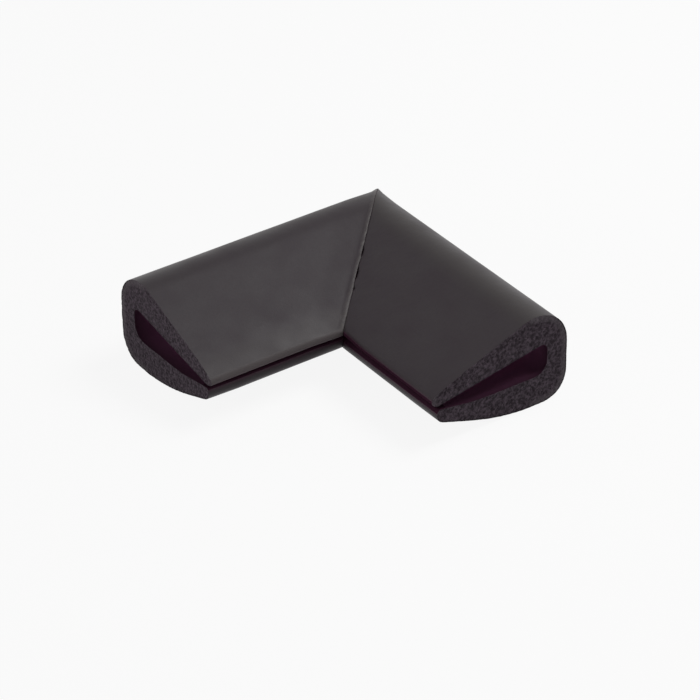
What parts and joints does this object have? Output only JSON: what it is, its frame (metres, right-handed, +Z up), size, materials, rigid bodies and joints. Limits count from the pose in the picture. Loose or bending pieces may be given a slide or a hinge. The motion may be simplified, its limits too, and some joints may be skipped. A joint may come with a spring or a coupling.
{
  "type": "foam furniture corner protector",
  "caption": "Soft foam corner guard with a slotted, closed-back profile mitred at a right angle, to push onto the corner of a table top or shelf.",
  "frame": {"origin": "middle of the part's bounding box, at its underside", "axes": "+Z up; the left arm runs along -X and the right arm along -Y from the outer corner at +X +Y; the slots open towards -Y and -X, the inside of the corner"},
  "size_m": [0.0768, 0.0772, 0.025],
  "materials": {
    "foam_rubber": "satin moulded skin, open matt pores on the cut ends"
  },
  "bodies": {
    "root": {"left_arm": "foam_rubber", "right_arm": "foam_rubber"}
  },
  "joints": []
}
